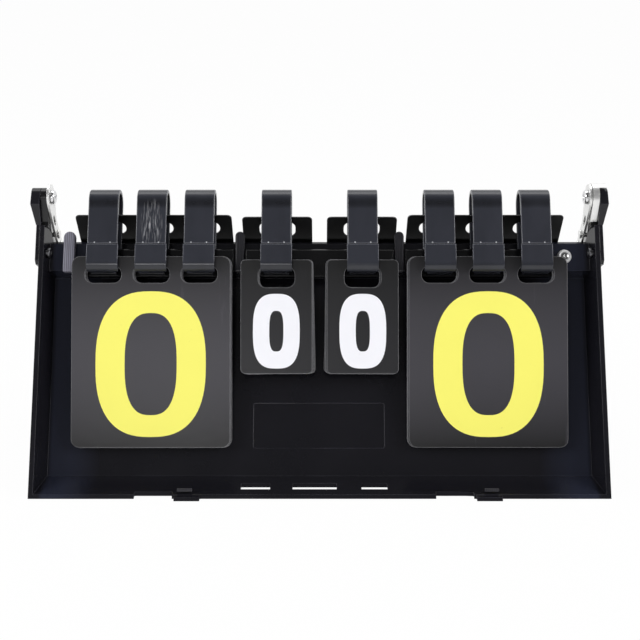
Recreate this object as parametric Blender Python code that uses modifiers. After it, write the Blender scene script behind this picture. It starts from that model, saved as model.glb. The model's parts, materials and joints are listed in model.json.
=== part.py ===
"""Tabletop scoreboard: two hinged trays in an A-frame, with flip cards on flat rings.

Every piece is placed in the frame of its own tray. Both frames stand on the hinge line:
X runs along the hinge, Y up the tray and Z out of the tray's open face. Distances up the
tray are counted from the front edge of its foot, heights from the plane of its rim.
"""
import math

import bmesh
import bpy
from mathutils import Vector

MM = 0.001

# Stand
LEAN = math.radians(30.0)
HINGE_UP = 206.0 * MM
HINGE_OUT = 0.2 * MM
FIT_GAP = 0.3 * MM

# Tray moulding
RIM_HALF_WIDTH = 192.5 * MM
RIM_WALL = 3.3 * MM
TRAY_DEPTH = 25.0 * MM
FLOOR_WALL = 2.5 * MM
SIDE_DRAFT = 0.83
WALL_TOP = 186.0 * MM
STEP_LOW, STEP_RUN, STEP_WALL = 153.7 * MM, 2.8 * MM, 2.5 * MM
BAND_TOPS = {"front": 175.8 * MM, "rear": 173.2 * MM}
BAND_FACE = -11.0 * MM
BAND_BACK = -13.5 * MM
PANEL_LEFT, PANEL_RIGHT = -45.4 * MM, 44.5 * MM
PANEL_LOW, PANEL_TOP = 34.7 * MM, 65.6 * MM
PANEL_DEPTH = 0.6 * MM
FOOT_WINDOWS = ((-42.8 * MM, 19.6 * MM), (-3.3 * MM, 29.5 * MM), (36.7 * MM, 17.4 * MM))
FOOT_WINDOW_BACK, FOOT_WINDOW_DEPTH = -13.5 * MM, 7.0 * MM
FOOT_CUT_LOW, FOOT_CUT_HIGH = 2.0 * MM, 14.0 * MM
HOLE_START, HOLE_LENGTH = 180.0 * MM, 20.0 * MM

# Latches of the shut case: middle and width of a notch, then of the tab beside it
LATCHES = (
    (-110.0 * MM, 25.0 * MM, -87.5 * MM, 17.0 * MM),
    (89.5 * MM, 25.0 * MM, 112.0 * MM, 17.0 * MM),
)
NOTCH_DEPTH, NOTCH_RUN = 3.4 * MM, 6.0 * MM
TAB_ROOT, TAB_REACH, TAB_WALL = -1.5 * MM, 2.6 * MM, 2.2 * MM

# Ring bars, posts and rings
BAR_LOW, BAR_TOP = 151.0 * MM, 170.4 * MM
BAR_BACK, BAR_FACE = -10.7 * MM, -4.2 * MM
BAR_CUT = 5.8 * MM
BARS = (
    ("left", -160.0 * MM, -59.4 * MM),
    ("middle", -50.8 * MM, 50.8 * MM),
    ("right", 59.4 * MM, 160.0 * MM),
)
POSTS = (
    ("left", -173.2 * MM, 8.2 * MM),
    ("centre_left", -55.1 * MM, 6.6 * MM),
    ("centre_right", 55.1 * MM, 6.6 * MM),
)
POST_LOW, POST_TOP = 154.6 * MM, 183.4 * MM
POST_BACK, POST_FACE = -10.7 * MM, -5.8 * MM
RING_HALF_ROW = (29.4 * MM, 82.0 * MM, 114.6 * MM, 147.5 * MM)
RING_CENTRES = [-x for x in reversed(RING_HALF_ROW)] + list(RING_HALF_ROW)
RING_WIDTH, RING_LOWER_WIDTH = 20.5 * MM, 21.3 * MM
RING_BAND = 2.6 * MM
RING_FRONT, RING_BACK = 8.5 * MM, -10.5 * MM
RING_TOP = 211.3 * MM
RING_LOW = 152.3 * MM
RING_SEAM = 171.0 * MM
RING_BEND = 6.0 * MM
RING_STEP = 3.9 * MM
TONGUE_WIDTH = 17.4 * MM
POCKET_DEPTH = 3.0 * MM

# Cards
CARD_SIZES = {"big": (108.0 * MM, 130.0 * MM), "small": (48.6 * MM, 77.5 * MM)}
CARD_TOPS = {"big": 163.3 * MM, "small": 160.9 * MM}
CARD_SHEET = 0.6 * MM
CARD_OUT = 3.5 * MM
CARD_TILT = math.radians(8.5)
CARD_CORNERS, REAR_CARD_CORNER = {"big": 5.6 * MM, "small": 3.0 * MM}, 3.0 * MM
SLOT_WIDTH, SLOT_ROUND = 25.0 * MM, 5.2 * MM
SLOT_HEIGHTS = {"big": 11.6 * MM, "small": 14.2 * MM}
STRIPS = {"big": 6.6 * MM, "small": 4.8 * MM}
STACKS = {"big": 4.8 * MM, "small": 3.2 * MM}
CARD_PIVOTS = {"big": (164.0 * MM, -7.4 * MM), "small": (162.8 * MM, -6.9 * MM)}
REAR_CARD_OUT = -10.4 * MM
REAR_SLOT_TOP = 192.6 * MM
REAR_PIVOTS = {"big": (199.5 * MM, -9.5 * MM), "small": (198.5 * MM, -9.5 * MM)}
CARDS = (
    ("left_score", "big", -114.8 * MM, RING_CENTRES[0:3]),
    ("left_set", "small", -29.4 * MM, RING_CENTRES[3:4]),
    ("right_set", "small", 29.4 * MM, RING_CENTRES[4:5]),
    ("right_score", "big", 114.8 * MM, RING_CENTRES[5:8]),
)

# Ears, brackets and fasteners, each stack of them listed from the inside outwards
EAR_INNER, EAR_OUTER, EAR_FOOT_OUTER = 191.8 * MM, 197.8 * MM, 195.3 * MM
EAR_TONGUE_INNER, EAR_TONGUE_OUTER = 193.0 * MM, 195.0 * MM
EAR_RADIUS = 6.4 * MM
EAR_CORNER = (199.0 * MM, 7.8 * MM)
EAR_FOOT = 186.4 * MM
EAR_BACK, EAR_FRONT = -10.2 * MM, -0.3 * MM
EAR_TONGUE_LOW, EAR_TONGUE_BACK, EAR_TONGUE_CUT = 159.0 * MM, -9.0 * MM, 2.6 * MM
EAR_LAP = 2.0 * MM
BLIND_HOLE = 1.4 * MM
CAP_SHEET = 0.9 * MM
CAP_INNER, CAP_LEG_OUTER, CAP_OUTER = 187.0 * MM, 191.5 * MM, 197.0 * MM
CAP_CLEAR = 2.3 * MM
CAP_LOW, CAP_BACK, CAP_FRONT = 189.0 * MM, -8.2 * MM, -2.0 * MM
CAP_ROOF_START, CAP_ROOF_END = 62, -48
BRACKET_INNER, BRACKET_OUTER = 185.2 * MM, 186.7 * MM
BRACKET_RADIUS = 9.0 * MM
BRACKET_LOW, BRACKET_BACK, BRACKET_FRONT = 160.0 * MM, -10.4 * MM, -1.2 * MM
BRACKET_SLOT_LOW, BRACKET_SLOT_TOP, BRACKET_SLOT_RADIUS = 187.0 * MM, 191.5 * MM, 2.2 * MM
PIVOT_SHANK = 2.5 * MM
PIVOT_HOLE = 2.8 * MM
PIVOT_HEAD = 5.0 * MM
PIVOT_HEAD_HEIGHT = 2.6 * MM
CROWN_FLAT, CROWN_DROP = 0.62, 0.6
NUT_FLATS = 8.0 * MM
NUT_RECESS = 5.0 * MM
NUT_INNER, NUT_HEIGHT = 194.4 * MM, 2.8 * MM
EAR_SCREW_UP, EAR_SCREW_OUT, EAR_SCREW_SEAT = 168.0 * MM, -6.0 * MM, 187.3 * MM
RIVETS = (("upper", 176.0 * MM), ("lower", 165.0 * MM))
RIVET_OUT = -6.0 * MM
RIVET_HEAD, RIVET_HEAD_HEIGHT = 3.2 * MM, 1.3 * MM
RIVET_FAR, RIVET_TAIL = 192.1 * MM, 1.0 * MM
EAR_SCREW_HEAD, EAR_SCREW_HEAD_HEIGHT, EAR_SCREW_LENGTH = 3.4 * MM, 1.9 * MM, 6.6 * MM
SMALL_SHANK, SMALL_HOLE = 2.0 * MM, 2.3 * MM
WASHER_X, WASHER_UP, WASHER_RADIUS = 170.0 * MM, 166.4 * MM, 4.9 * MM
WASHER_EDGE, WASHER_CROWN, WASHER_BORE_TOP = 0.8 * MM, 2.1 * MM, 0.9 * MM
WASHER_CROWN_OUTER, WASHER_CROWN_INNER, WASHER_LIP = 0.8, 0.62, 0.2 * MM
SUNK_START, SUNK_SEAT, SUNK_CROWN = -0.15 * MM, 1.1 * MM, 2.6 * MM
SUNK_SHOULDER, SUNK_RISE = 2.6 * MM, 1.1 * MM
SUNK_DOME, SUNK_DOME_DROP = 1.6 * MM, 0.15 * MM

ROUND_STEPS = 20
SHARP_ANGLE = math.radians(35.0)


def clear_scene():
    for item in list(bpy.data.objects):
        bpy.data.objects.remove(item)


def collection(name):
    group = bpy.data.collections.new(name)
    bpy.context.scene.collection.children.link(group)
    return group


def material(name, colour, roughness, metallic=0.0):
    made = bpy.data.materials.new(name)
    made.use_nodes = True
    shader = made.node_tree.nodes["Principled BSDF"]
    shader.inputs["Base Color"].default_value = (*colour, 1.0)
    shader.inputs["Roughness"].default_value = roughness
    shader.inputs["Metallic"].default_value = metallic
    return made


def tray_frame(name, turn):
    """An empty on the hinge line, with Y up a tray and Z out of its open face."""
    empty = bpy.data.objects.new(name, None)
    height = HINGE_UP * math.cos(LEAN) + HINGE_OUT * math.sin(LEAN)
    empty.location = (0.0, 0.0, height)
    empty.rotation_euler = (math.pi / 2 - LEAN, 0.0, turn)
    PARTS.objects.link(empty)
    return empty


def up(distance):
    return distance - HINGE_UP


def out(height):
    return height - HINGE_OUT


def add(obj, frame, finish, group=None):
    (group or PARTS).objects.link(obj)
    obj.parent = frame
    if finish:
        obj.data.materials.append(finish)
    bpy.context.view_layer.update()
    return obj


def arc(centre, radius, start, end, steps):
    """Points on an arc, with the angles in degrees."""
    angles = [math.radians(start + (end - start) * i / steps) for i in range(steps + 1)]
    return [(centre[0] + radius * math.cos(a), centre[1] + radius * math.sin(a)) for a in angles]


def rounded_box(left, low, right, top, radius, steps=4):
    points = arc((right - radius, top - radius), radius, 0, 90, steps)
    points += arc((left + radius, top - radius), radius, 90, 180, steps)
    points += arc((left + radius, low + radius), radius, 180, 270, steps)
    points += arc((right - radius, low + radius), radius, 270, 360, steps)
    return points


def flat_outline(name, outlines, thickness):
    """A filled 2D curve, extruded both ways by half the thickness; later outlines are holes."""
    curve = bpy.data.curves.new(name, "CURVE")
    curve.dimensions = "2D"
    curve.fill_mode = "BOTH"
    curve.extrude = thickness / 2
    for outline in outlines:
        spline = curve.splines.new("POLY")
        spline.points.add(len(outline) - 1)
        for point, (x, y) in zip(spline.points, outline):
            point.co = (x, y, 0.0, 1.0)
        spline.use_cyclic_u = True
    return bpy.data.objects.new(name, curve)


def to_mesh(obj):
    """The curve's own solid as a welded mesh object in its place."""
    bpy.context.view_layer.update()
    graph = bpy.context.evaluated_depsgraph_get()
    data = bpy.data.meshes.new_from_object(obj.evaluated_get(graph))
    cage = bmesh.new()
    cage.from_mesh(data)
    bmesh.ops.remove_doubles(cage, verts=cage.verts, dist=0.00001)
    bmesh.ops.recalc_face_normals(cage, faces=cage.faces)
    cage.to_mesh(data)
    cage.free()
    data.shade_smooth()
    data.set_sharp_from_angle(angle=SHARP_ANGLE)
    name, parent, matrix = obj.name, obj.parent, obj.matrix_world.copy()
    group = obj.users_collection[0]
    bpy.data.objects.remove(obj)
    solid = bpy.data.objects.new(name, data)
    group.objects.link(solid)
    solid.parent = parent
    solid.matrix_world = matrix
    return solid


def side_plate(name, outlines, low_x, high_x, frame, finish, group=None):
    """An outline in (up, out) of a tray, extruded along the hinge from low_x to high_x."""
    shifted = [[(up(s), out(n)) for s, n in outline] for outline in outlines]
    plate = flat_outline(name, shifted, high_x - low_x)
    plate.location = ((low_x + high_x) / 2, 0.0, 0.0)
    plate.rotation_euler = (math.pi / 2, 0.0, math.pi / 2)
    return to_mesh(add(plate, frame, finish, group))


def face_plate(name, outlines, low_n, high_n, frame, finish, group=None):
    """An outline in (x, up) of a tray, extruded outwards from low_n to high_n."""
    shifted = [[(x, up(s)) for x, s in outline] for outline in outlines]
    plate = flat_outline(name, shifted, high_n - low_n)
    plate.location = (0.0, 0.0, out((low_n + high_n) / 2))
    return to_mesh(add(plate, frame, finish, group))


def turned(name, profile, frame, finish, place, along_x, group=None, steps=ROUND_STEPS):
    """A profile of (radius, distance) turned about the X axis or about Z of a tray."""
    data = bpy.data.meshes.new(name)
    cage = bmesh.new()
    verts = [cage.verts.new((radius, 0.0, distance)) for radius, distance in reversed(profile)]
    for first, second in zip(verts, verts[1:]):
        cage.edges.new((first, second))
    cage.to_mesh(data)
    cage.free()
    body = bpy.data.objects.new(name, data)
    spin = body.modifiers.new("Turn", "SCREW")
    spin.steps = spin.render_steps = steps
    spin.use_merge_vertices = True
    spin.merge_threshold = 0.00001
    body.location = place
    if along_x:
        body.rotation_euler = (0.0, math.pi / 2 * along_x, 0.0)
    return add(body, frame, finish, group)


def rod(name, radius, length, frame, place, along_x, finish=None, group=None, sides=ROUND_STEPS):
    """A plain cylinder that starts at its place and runs along X or Z."""
    data = bpy.data.meshes.new(name)
    cage = bmesh.new()
    bmesh.ops.create_cone(cage, cap_ends=True, segments=sides, radius1=radius, radius2=radius, depth=length)
    bmesh.ops.translate(cage, verts=cage.verts, vec=(0.0, 0.0, length / 2))
    cage.to_mesh(data)
    cage.free()
    body = bpy.data.objects.new(name, data)
    body.location = place
    if along_x:
        body.rotation_euler = (0.0, math.pi / 2 * along_x, 0.0)
    return add(body, frame, finish, group)


def box(name, low, high, frame, finish=None, group=None):
    """A block between two corners, given as (x, up, out) of a tray."""
    data = bpy.data.meshes.new(name)
    cage = bmesh.new()
    bmesh.ops.create_cube(cage, size=1.0)
    size = Vector([b - a for a, b in zip(low, high)])
    bmesh.ops.scale(cage, verts=cage.verts, vec=size)
    cage.to_mesh(data)
    cage.free()
    block = bpy.data.objects.new(name, data)
    middle = [(a + b) / 2 for a, b in zip(low, high)]
    block.location = (middle[0], up(middle[1]), out(middle[2]))
    return add(block, frame, finish, group)


def combine(body, tool, operation):
    step = body.modifiers.new(operation.title(), "BOOLEAN")
    step.operation = operation
    step.solver = "EXACT"
    step.object = tool
    tool.hide_render = True
    tool.display_type = "WIRE"


def apply_modifiers(obj):
    """Keep the cut shape and drop the tools that made it."""
    bpy.context.view_layer.update()
    graph = bpy.context.evaluated_depsgraph_get()
    data = bpy.data.meshes.new_from_object(obj.evaluated_get(graph))
    tools = [step.object for step in obj.modifiers if step.type == "BOOLEAN"]
    obj.modifiers.clear()
    obj.data = data
    for tool in tools:
        bpy.data.objects.remove(tool)


def foot_line(n, inset=0.0):
    """Distance up the tray of the foot wall at a height, at or inside its outer face."""
    return -n * math.tan(LEAN) + inset / math.cos(LEAN)


def drafted(obj):
    """Draw the sides in towards the back, as a mould needs."""
    for vert in obj.data.vertices:
        vert.co.z *= 1.0 + SIDE_DRAFT * (vert.co.y + HINGE_OUT)


def centre_plane(s):
    """Height of the plane between the two trays, less the gap that they keep."""
    return -(HINGE_UP - s) * math.tan(LEAN) + FIT_GAP


def tray_outer(band_top):
    return [
        (0.0, 0.0),
        (foot_line(-TRAY_DEPTH), -TRAY_DEPTH),
        (STEP_LOW + STEP_WALL, -TRAY_DEPTH),
        (STEP_LOW + STEP_WALL + STEP_RUN, BAND_BACK),
        (band_top, BAND_BACK),
        (band_top, centre_plane(band_top)),
        (WALL_TOP, centre_plane(WALL_TOP)),
        (WALL_TOP, 0.0),
    ]


def tray_inner(band_top):
    floor = FLOOR_WALL - TRAY_DEPTH
    return [
        (foot_line(MM, FLOOR_WALL), MM),
        (foot_line(floor, FLOOR_WALL), floor),
        (STEP_LOW, floor),
        (STEP_LOW + STEP_RUN, BAND_FACE),
        (band_top, BAND_FACE),
        (band_top, -TRAY_DEPTH),
        (WALL_TOP + MM, -TRAY_DEPTH),
        (WALL_TOP + MM, MM),
    ]


def latch_parts(frame, latch, solid, cutters):
    """A notch in the rim of the foot wall, and beside it a tab that reaches past the rim."""
    notch_x, notch_width, tab_x, tab_width = latch
    low = -MM
    notch = [(low, MM), (low, -NOTCH_DEPTH), (NOTCH_RUN, -NOTCH_DEPTH), (NOTCH_RUN, MM)]
    cutters.append(side_plate("notch", [notch], notch_x - notch_width / 2, notch_x + notch_width / 2,
                              frame, None, CUTTERS))
    tab = [
        (foot_line(TAB_ROOT), TAB_ROOT),
        (foot_line(TAB_ROOT, TAB_WALL), TAB_ROOT),
        (foot_line(TAB_REACH, TAB_WALL), TAB_REACH),
        (foot_line(TAB_REACH), TAB_REACH),
    ]
    solid.append(side_plate("tab", [tab], tab_x - tab_width / 2, tab_x + tab_width / 2, frame, None, CUTTERS))


def tray(name, frame, finish, band_top, hole_spots):
    """One tray moulding: floor, foot wall, drafted sides and the raised band at the top."""
    body = side_plate(name, [tray_outer(band_top)], -RIM_HALF_WIDTH, RIM_HALF_WIDTH, frame, finish)
    drafted(body)
    hollow_half = RIM_HALF_WIDTH - RIM_WALL
    hollow = side_plate("hollow", [tray_inner(band_top)], -hollow_half, hollow_half, frame, None, CUTTERS)
    drafted(hollow)
    cuts = [hollow]
    joins = []
    for latch in LATCHES:
        latch_parts(frame, latch, joins, cuts)
    floor = FLOOR_WALL - TRAY_DEPTH
    panel = rounded_box(PANEL_LEFT, PANEL_LOW, PANEL_RIGHT, PANEL_TOP, 1.5 * MM, 3)
    cuts.append(face_plate("panel", [panel], floor - PANEL_DEPTH, floor + MM, frame, None, CUTTERS))
    for middle, length in FOOT_WINDOWS:
        low = (middle - length / 2, FOOT_CUT_LOW, FOOT_WINDOW_BACK)
        high = (middle + length / 2, FOOT_CUT_HIGH, FOOT_WINDOW_BACK + FOOT_WINDOW_DEPTH)
        cuts.append(box("window", low, high, frame, None, CUTTERS))
    for side in (-1, 1):
        for s, n in hole_spots:
            place = (side * HOLE_START, up(s), out(n))
            cuts.append(rod("hole", SMALL_HOLE, HOLE_LENGTH, frame, place, side, None, CUTTERS, 12))
    for tool in joins:
        combine(body, tool, "UNION")
    for tool in cuts:
        combine(body, tool, "DIFFERENCE")
    apply_modifiers(body)
    return body


def tangent(point, radius, side):
    """Where a line from a point touches the round head about the hinge."""
    ds, dn = point[0] - HINGE_UP, point[1] - HINGE_OUT
    reach = math.hypot(ds, dn)
    angle = math.atan2(dn, ds) + side * math.acos(radius / reach)
    return math.degrees(angle)


def round_head(back_foot, front_foot, radius, steps=16):
    """A plate outline that widens from two foot points into a round head about the hinge."""
    start = tangent(front_foot, radius, -1)
    end = tangent(back_foot, radius, 1)
    while end > start:
        end -= 360.0
    return [front_foot] + arc((HINGE_UP, HINGE_OUT), radius, start, end, steps) + [back_foot]


def circle(centre, radius, steps=16):
    return arc(centre, radius, 0, 360 - 360 / steps, steps - 1)


def lean_in(body, side):
    """Draw the foot of an ear's outer face in, so that the ear flares out to its head."""
    middle = (EAR_INNER + EAR_OUTER) / 2
    for vert in body.data.vertices:
        place = body.matrix_local @ vert.co
        if place.x * side > middle and place.y < up(EAR_FOOT) + MM:
            place.x = side * EAR_FOOT_OUTER
            vert.co = body.matrix_local.inverted() @ place


def ear(side, label):
    """A plastic ear: a thick head above the tray's wall and a tongue outside it."""
    hole = circle((HINGE_UP, HINGE_OUT), PIVOT_HOLE)
    head = [(EAR_FOOT, EAR_FRONT)] + round_head((EAR_FOOT, EAR_BACK), EAR_CORNER, EAR_RADIUS)
    spans = sorted((side * EAR_INNER, side * EAR_OUTER))
    body = side_plate(f"ear_{label}", [head, hole], spans[0], spans[1], FRONT, PLASTIC)
    lean_in(body, side)
    tongue = [
        (EAR_TONGUE_LOW, EAR_TONGUE_BACK),
        (EAR_TONGUE_LOW, EAR_FRONT - EAR_TONGUE_CUT),
        (EAR_TONGUE_LOW + EAR_TONGUE_CUT, EAR_FRONT),
        (EAR_FOOT + EAR_LAP, EAR_FRONT),
        (EAR_FOOT + EAR_LAP, EAR_TONGUE_BACK),
    ]
    spans = sorted((side * EAR_TONGUE_INNER, side * EAR_TONGUE_OUTER))
    combine(body, side_plate("tongue", [tongue], spans[0], spans[1], FRONT, None, CUTTERS), "UNION")
    place = (side * (NUT_INNER - FIT_GAP), 0.0, 0.0)
    recess = rod("recess", NUT_RECESS, EAR_OUTER - EAR_INNER, FRONT, place, side, None, CUTTERS)
    combine(body, recess, "DIFFERENCE")
    place = (side * (EAR_TONGUE_INNER - MM), up(EAR_SCREW_UP), out(EAR_SCREW_OUT))
    hole = rod("blind_hole", SMALL_HOLE, BLIND_HOLE + MM, FRONT, place, side, None, CUTTERS, 12)
    combine(body, hole, "DIFFERENCE")
    apply_modifiers(body)


def ear_cap(side, label, roofed):
    """A spacer leg between ear and bracket, at the right with a roof bent over its round head."""
    hole = circle((HINGE_UP, HINGE_OUT), PIVOT_HOLE)
    roof_in = EAR_RADIUS + CAP_CLEAR
    roof_out = roof_in + CAP_SHEET
    leg_radius = roof_out if roofed else EAR_RADIUS
    leg = round_head((CAP_LOW, CAP_BACK), (CAP_LOW, CAP_FRONT), leg_radius)
    spans = sorted((side * CAP_INNER, side * CAP_LEG_OUTER))
    finish = STEEL if roofed else BLACK_STEEL
    body = side_plate(f"ear_cap_{label}", [leg, hole], spans[0], spans[1], FRONT, finish)
    if roofed:
        centre = (HINGE_UP, HINGE_OUT)
        roof = arc(centre, roof_out, CAP_ROOF_START, CAP_ROOF_END, 10)
        roof += arc(centre, roof_in, CAP_ROOF_END, CAP_ROOF_START, 10)
        spans = sorted((side * CAP_INNER, side * CAP_OUTER))
        combine(body, side_plate("roof", [roof], spans[0], spans[1], FRONT, None, CUTTERS), "UNION")
        apply_modifiers(body)


def bracket(side, label):
    """A steel hinge plate that runs down inside the rear tray's side wall."""
    # The rear tray's frame is turned half round, so its own +X side is the world's -X side.
    own = -side
    hole = circle((HINGE_UP, HINGE_OUT), PIVOT_HOLE)
    head = round_head((WALL_TOP, BRACKET_BACK), (WALL_TOP, BRACKET_FRONT), BRACKET_RADIUS)
    outline = [(BRACKET_LOW, BRACKET_FRONT)] + head + [(BRACKET_LOW, BRACKET_BACK)]
    slot = [(s, n) for n, s in arc((RIVET_OUT, BRACKET_SLOT_TOP), BRACKET_SLOT_RADIUS, 0, 180, 6)]
    slot += [(s, n) for n, s in arc((RIVET_OUT, BRACKET_SLOT_LOW), BRACKET_SLOT_RADIUS, 180, 360, 6)]
    holes = [hole, slot] + [circle((s, RIVET_OUT), SMALL_HOLE, 12) for _, s in RIVETS]
    spans = sorted((own * BRACKET_INNER, own * BRACKET_OUTER))
    side_plate(f"hinge_bracket_{label}", [outline] + holes, spans[0], spans[1], REAR, STEEL)


def pan_head(radius, height, steps=4):
    """Outline of a pan head from its crown down to its seat, as (radius, distance)."""
    crown = [(0.0, -height)]
    for i in range(1, steps + 1):
        angle = math.pi / 2 * i / steps
        reach = CROWN_FLAT + (1 - CROWN_FLAT) * math.sin(angle)
        crown.append((radius * reach, -height + height * CROWN_DROP * (1 - math.cos(angle))))
    return crown + [(radius, 0.0)]


def screw_profile(radius, height, shank, length):
    return pan_head(radius, height) + [(shank, 0.0), (shank, length), (0.0, length)]


def pivot_set(side, label):
    seat = BRACKET_INNER - FIT_GAP
    length = NUT_INNER + NUT_HEIGHT - seat - FIT_GAP
    turned(f"pivot_screw_{label}", screw_profile(PIVOT_HEAD, PIVOT_HEAD_HEIGHT, PIVOT_SHANK, length),
           FRONT, CHROME, (side * seat, 0.0, 0.0), side)
    bore = circle((0.0, 0.0), PIVOT_SHANK + FIT_GAP)
    corner = NUT_FLATS / math.sqrt(3)
    hexagon = circle((0.0, 0.0), corner, 6)
    nut = flat_outline(f"pivot_nut_{label}", [hexagon, bore], NUT_HEIGHT)
    nut.location = (side * (NUT_INNER + NUT_HEIGHT / 2), 0.0, 0.0)
    nut.rotation_euler = (math.pi / 2, 0.0, math.pi / 2)
    to_mesh(add(nut, FRONT, STEEL))


def ear_screw(side, label):
    seat = EAR_SCREW_SEAT
    place = (side * seat, up(EAR_SCREW_UP), out(EAR_SCREW_OUT))
    profile = screw_profile(EAR_SCREW_HEAD, EAR_SCREW_HEAD_HEIGHT, SMALL_SHANK, EAR_SCREW_LENGTH)
    turned(f"ear_screw_{label}", profile, FRONT, BLACK_STEEL, place, side, None, 16)


def rivet(side, label, which, s):
    own = -side
    seat = BRACKET_INNER - FIT_GAP
    length = RIVET_FAR - seat
    end = length + RIVET_TAIL
    profile = pan_head(RIVET_HEAD, RIVET_HEAD_HEIGHT) + [(SMALL_SHANK, 0.0), (SMALL_SHANK, length)]
    profile += [(RIVET_HEAD, length), (RIVET_HEAD, end), (0.0, end)]
    place = (own * seat, up(s), out(RIVET_OUT))
    turned(f"bracket_rivet_{label}_{which}", profile, REAR, STEEL, place, own, None, 16)


def ring_path_top(band_out, foot):
    """Outside or inside line of a ring's upper half, from its seam over the top to its foot."""
    inset = 0.0 if band_out else RING_BAND
    radius = (RING_FRONT - RING_BACK) / 2 - inset
    middle = (RING_FRONT + RING_BACK) / 2
    crown = RING_TOP - (RING_FRONT - RING_BACK) / 2
    over = [(s, n) for n, s in arc((middle, crown), radius, 0, 180, 12)]
    return [(RING_SEAM + FIT_GAP / 2, RING_FRONT - inset)] + over + [(foot, RING_BACK + inset)]


def ring_upper(index, middle):
    foot = BAR_TOP - POCKET_DEPTH + FIT_GAP
    outline = ring_path_top(True, foot) + ring_path_top(False, foot)[::-1]
    half = RING_WIDTH / 2
    side_plate(f"ring_{index}_upper", [outline], middle - half, middle + half, FRONT, PLASTIC)


def ring_lower(index, middle):
    """The lower half: a wide plate down the front, and a narrower tongue back into the bar."""
    half = RING_LOWER_WIDTH / 2
    end = BAR_FACE - POCKET_DEPTH + FIT_GAP
    centre = (RING_FRONT - RING_BEND, RING_LOW + RING_BEND)
    outer_bend = [(s, n) for n, s in arc(centre, RING_BEND, 0, -90, 6)]
    inner_bend = [(s, n) for n, s in arc(centre, RING_BEND - RING_BAND, -90, 0, 6)]
    outline = [(RING_SEAM - FIT_GAP / 2, RING_FRONT)] + outer_bend
    outline += [(RING_LOW, end), (RING_LOW + RING_BAND, end)]
    outline += inner_bend + [(RING_SEAM - FIT_GAP / 2, RING_FRONT - RING_BAND)]
    body = side_plate(f"ring_{index}_lower", [outline], middle - half, middle + half, FRONT, PLASTIC)
    for side in (-1, 1):
        edge, tongue = middle + side * (half + MM), middle + side * TONGUE_WIDTH / 2
        low = (min(edge, tongue), RING_LOW - MM, BAR_FACE - POCKET_DEPTH)
        high = (max(edge, tongue), RING_SEAM - MM, RING_STEP)
        combine(body, box("tongue_side", low, high, FRONT, None, CUTTERS), "DIFFERENCE")
    apply_modifiers(body)


def ring_bar(label, low_x, high_x):
    """A bar on the band, with pockets for the feet of its rings."""
    profile = [(BAR_LOW + BAR_CUT, BAR_BACK), (BAR_LOW, BAR_FACE - 2 * MM), (BAR_LOW, BAR_FACE),
               (BAR_TOP - MM, BAR_FACE), (BAR_TOP, BAR_FACE - MM), (BAR_TOP, BAR_BACK)]
    body = side_plate(f"ring_bar_{label}", [profile], low_x, high_x, FRONT, BLACK)
    foot, tongue = RING_WIDTH / 2 + FIT_GAP, TONGUE_WIDTH / 2 + FIT_GAP
    for middle in RING_CENTRES:
        if low_x < middle < high_x:
            low = (middle - foot, BAR_TOP - POCKET_DEPTH, BAR_BACK - MM)
            high = (middle + foot, BAR_TOP + MM, RING_BACK + RING_BAND + FIT_GAP)
            combine(body, box("foot_pocket", low, high, FRONT, None, CUTTERS), "DIFFERENCE")
            low = (middle - tongue, RING_LOW - FIT_GAP, BAR_FACE - POCKET_DEPTH)
            high = (middle + tongue, RING_LOW + RING_BAND + FIT_GAP, BAR_FACE + MM)
            combine(body, box("tongue_pocket", low, high, FRONT, None, CUTTERS), "DIFFERENCE")
    apply_modifiers(body)


def post(label, middle, width):
    outline = [(middle - width / 2, POST_LOW), (middle + width / 2, POST_LOW)]
    outline += arc((middle, POST_TOP - width / 2), width / 2, 0, 180, 8)
    face_plate(f"post_{label}", [outline], POST_BACK, POST_FACE, FRONT, BLACK)


def cup_washer():
    """A pressed cup washer on the band and the screw whose head sinks into it."""
    place = (WASHER_X, up(WASHER_UP), out(BAND_FACE + FIT_GAP))
    ring = [
        (WASHER_RADIUS, 0.0),
        (WASHER_RADIUS, WASHER_EDGE),
        (WASHER_RADIUS * WASHER_CROWN_OUTER, WASHER_CROWN),
        (WASHER_RADIUS * WASHER_CROWN_INNER, WASHER_CROWN - WASHER_LIP),
        (SMALL_HOLE, WASHER_BORE_TOP),
        (SMALL_HOLE, 0.0),
        (WASHER_RADIUS, 0.0),
    ]
    turned("cup_washer", ring, FRONT, CHROME, place, 0)
    head = [
        (0.0, SUNK_START),
        (SMALL_SHANK, SUNK_START),
        (SMALL_SHANK, SUNK_SEAT),
        (SUNK_SHOULDER, SUNK_SEAT + SUNK_RISE),
        (SUNK_DOME, SUNK_CROWN - SUNK_DOME_DROP),
        (0.0, SUNK_CROWN),
    ]
    turned("washer_screw", head, FRONT, CHROME, place, 0, None, 16)


def card_outline(kind, top, slots, corner):
    """Sheet outline and slot outlines, in (x from the card's middle, up from its pivot)."""
    width, height = CARD_SIZES[kind]
    sheet = rounded_box(-width / 2, top - height, width / 2, top, corner)
    high = top - STRIPS[kind]
    low = high - SLOT_HEIGHTS[kind]
    half = SLOT_WIDTH / 2
    return [sheet] + [rounded_box(x - half, low, x + half, high, SLOT_ROUND, 5) for x in slots]


def card_pivot(name, frame, x, s, n, tilt):
    empty = bpy.data.objects.new(name, None)
    empty.location = (x, up(s), out(n))
    empty.rotation_euler = (tilt, 0.0, 0.0)
    PARTS.objects.link(empty)
    empty.parent = frame
    return empty


def hang(name, pivot, outlines, middle_out, thickness, finish):
    sheet = flat_outline(name, outlines, thickness)
    sheet.location = (0.0, 0.0, middle_out)
    return to_mesh(add(sheet, pivot, finish))


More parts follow.
